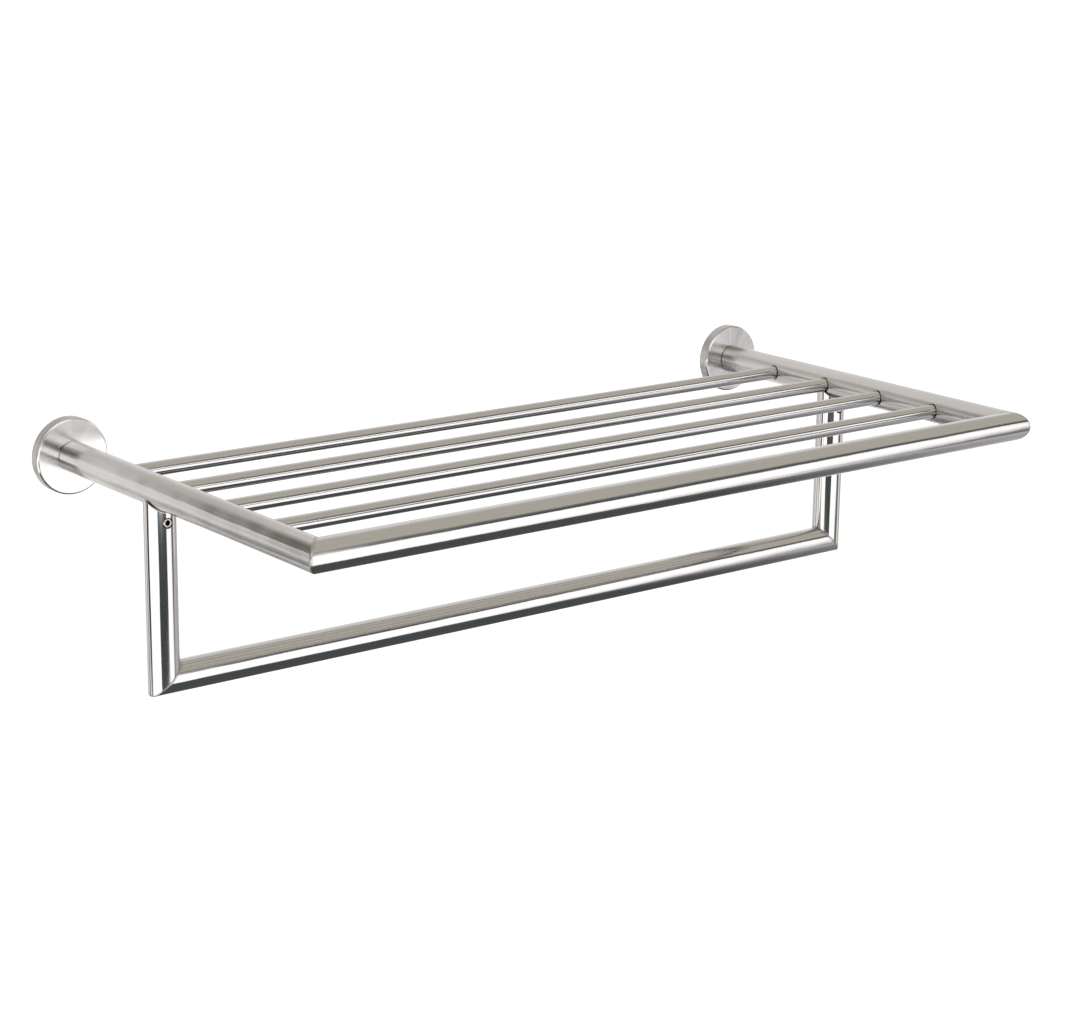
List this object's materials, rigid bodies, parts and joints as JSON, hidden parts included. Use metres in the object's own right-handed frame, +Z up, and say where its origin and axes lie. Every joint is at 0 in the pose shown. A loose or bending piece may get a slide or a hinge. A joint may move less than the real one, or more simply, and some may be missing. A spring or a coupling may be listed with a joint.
{
  "type": "towel rack",
  "caption": "Wall-mounted towel rack of round satin stainless tube: a shelf of thin bars between arms on round wall flanges, with a towel bar hung below on legs.",
  "frame": {"origin": "on the wall, midway between the flanges, at the height of the arms' axes", "axes": "+X along the bars to the right as seen from the room, +Y into the wall, +Z up"},
  "size_m": [0.61, 0.302, 0.1535],
  "materials": {
    "satin_stainless": "satin stainless tube, finely ground along its length",
    "turned_stainless": "lathe-turned stainless with fine rings round the centre",
    "plain_steel": "plain machined stainless, hidden when the rack is up",
    "screw_steel": "bright stainless screw with a dark socket"
  },
  "bodies": {
    "rack": {"front_bar": "satin_stainless", "left_arm": "satin_stainless", "left_arm_plug": "plain_steel", "left_flange": "turned_stainless", "left_flange_bolt": "plain_steel", "left_leg": "satin_stainless", "left_leg_spigot": "plain_steel", "left_wall_plate": "plain_steel", "right_arm": "satin_stainless", "right_arm_plug": "plain_steel", "right_flange": "turned_stainless", "right_flange_bolt": "plain_steel", "right_leg": "satin_stainless", "right_leg_spigot": "plain_steel", "right_wall_plate": "plain_steel", "shelf_bar_1": "satin_stainless", "shelf_bar_2": "satin_stainless", "shelf_bar_3": "satin_stainless", "shelf_bar_4": "satin_stainless", "towel_bar": "satin_stainless"},
    "left_leg_screw": {"left_leg_screw": "screw_steel"},
    "left_flange_screw": {"left_flange_screw": "screw_steel"},
    "right_leg_screw": {"right_leg_screw": "screw_steel"},
    "right_flange_screw": {"right_flange_screw": "screw_steel"}
  },
  "joints": [
    {"name": "left_leg_screw_travel", "type": "slide", "parent": "rack", "child": "left_leg_screw", "axis": [0, 1, 0], "range_m": [0, 0.0025]},
    {"name": "right_leg_screw_travel", "type": "slide", "parent": "rack", "child": "right_leg_screw", "axis": [0, 1, 0], "range_m": [0, 0.0025]},
    {"name": "left_flange_screw_travel", "type": "slide", "parent": "rack", "child": "left_flange_screw", "axis": [0, 0, -1], "range_m": [0, 0.0015]},
    {"name": "right_flange_screw_travel", "type": "slide", "parent": "rack", "child": "right_flange_screw", "axis": [0, 0, -1], "range_m": [0, 0.0015]}
  ]
}
